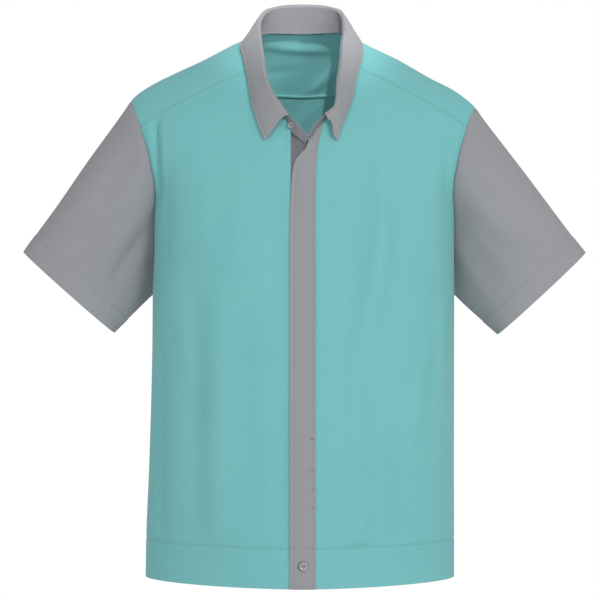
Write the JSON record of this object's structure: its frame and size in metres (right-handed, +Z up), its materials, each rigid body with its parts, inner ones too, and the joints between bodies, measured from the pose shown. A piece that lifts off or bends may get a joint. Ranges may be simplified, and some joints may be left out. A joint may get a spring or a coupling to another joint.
{
  "type": "short-sleeved button-front shirt",
  "caption": "Short-sleeved woven shirt filled out as worn, teal body with grey collar, sleeves and concealed front fly, hem band, open neck, cuffs and hem",
  "frame": {"origin": "At the nape: the inner face of the yoke at centre back, just below the collar seam, where the wearer's neck and shoulders carry the shirt.", "axes": "+X towards the wearer's left, -Y towards the front, +Z up. The body and placket hang straight down; the sleeves stand out and down to both sides."},
  "size_m": [0.7676, 0.2673, 0.7899],
  "materials": {
    "body_cloth": "teal plain-weave shirting, matt with a slight sheen",
    "contrast_cloth": "cool grey plain-weave shirting, matt with a slight sheen",
    "button": "grey four-hole button, satin"
  },
  "bodies": {
    "root": {"front_right": "body_cloth", "front_left": "body_cloth", "back": "body_cloth", "yoke": "body_cloth", "band_front_right": "body_cloth", "band_front_left": "body_cloth", "band_back": "body_cloth", "under_placket": "contrast_cloth", "placket": "contrast_cloth", "band_tab": "contrast_cloth", "sleeve_right": "contrast_cloth", "sleeve_left": "contrast_cloth", "collar_stand": "contrast_cloth", "collar_fall": "contrast_cloth", "stand_button": "button", "band_button": "button"}
  },
  "joints": []
}
